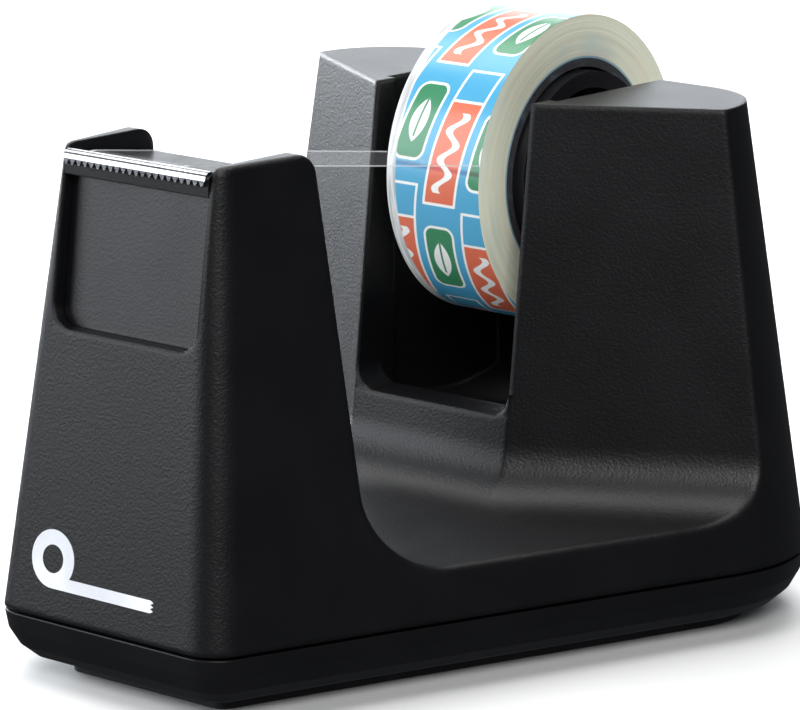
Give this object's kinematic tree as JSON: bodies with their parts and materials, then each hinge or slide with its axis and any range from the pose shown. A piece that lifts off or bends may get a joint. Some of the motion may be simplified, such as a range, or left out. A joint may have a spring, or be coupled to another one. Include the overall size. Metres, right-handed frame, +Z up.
{
  "type": "tape dispenser",
  "caption": "Weighted desk tape dispenser with a serrated blade, an open finger valley and a tape roll on a hub that spins and lifts out.",
  "frame": {"origin": "centre of the whole object's outline on the surface it stands on", "axes": "+X to the object's right seen from the cutter end, +Y from the cutter towards the roll, +Z up"},
  "size_m": [0.0844, 0.099, 0.0731],
  "materials": {
    "housing_plastic": "fine texture",
    "tray_plastic": "satin",
    "pad_rubber": "matte",
    "adhesive_film": "matte",
    "screw_steel": "satin",
    "ballast_steel": "rough",
    "carrier_plastic": "satin",
    "blade_steel": "bright",
    "axle_plastic": "satin",
    "strip_film": "clear",
    "hub_plastic": "satin",
    "core_plastic": "satin",
    "band_print": "printed",
    "tape_film": "gloss"
  },
  "bodies": {
    "base": {"housing": "housing_plastic", "base_tray": "tray_plastic", "stop_pad": "pad_rubber", "pad_adhesive": "adhesive_film", "case_screws": "screw_steel", "ballast_plate": "ballast_steel", "ballast_block": "ballast_steel", "ballast_screws": "screw_steel", "cutter_carrier": "carrier_plastic", "cutter_blade": "blade_steel"},
    "spindle": {"axle": "axle_plastic", "tape_strip": "strip_film"},
    "roll": {"hub_left": "hub_plastic", "hub_right": "hub_plastic", "tape_core": "core_plastic", "core_band": "band_print", "tape_winding": "tape_film"}
  },
  "joints": [
    {"name": "roll_lift", "type": "slide", "parent": "base", "child": "spindle", "axis": [0, 0, 1], "range_m": [0, 0.04]},
    {"name": "hub_spin", "type": "hinge", "parent": "spindle", "child": "roll", "pos_m": [0, 0.0298, 0.0534], "axis": [1, 0, 0], "continuous": true}
  ]
}
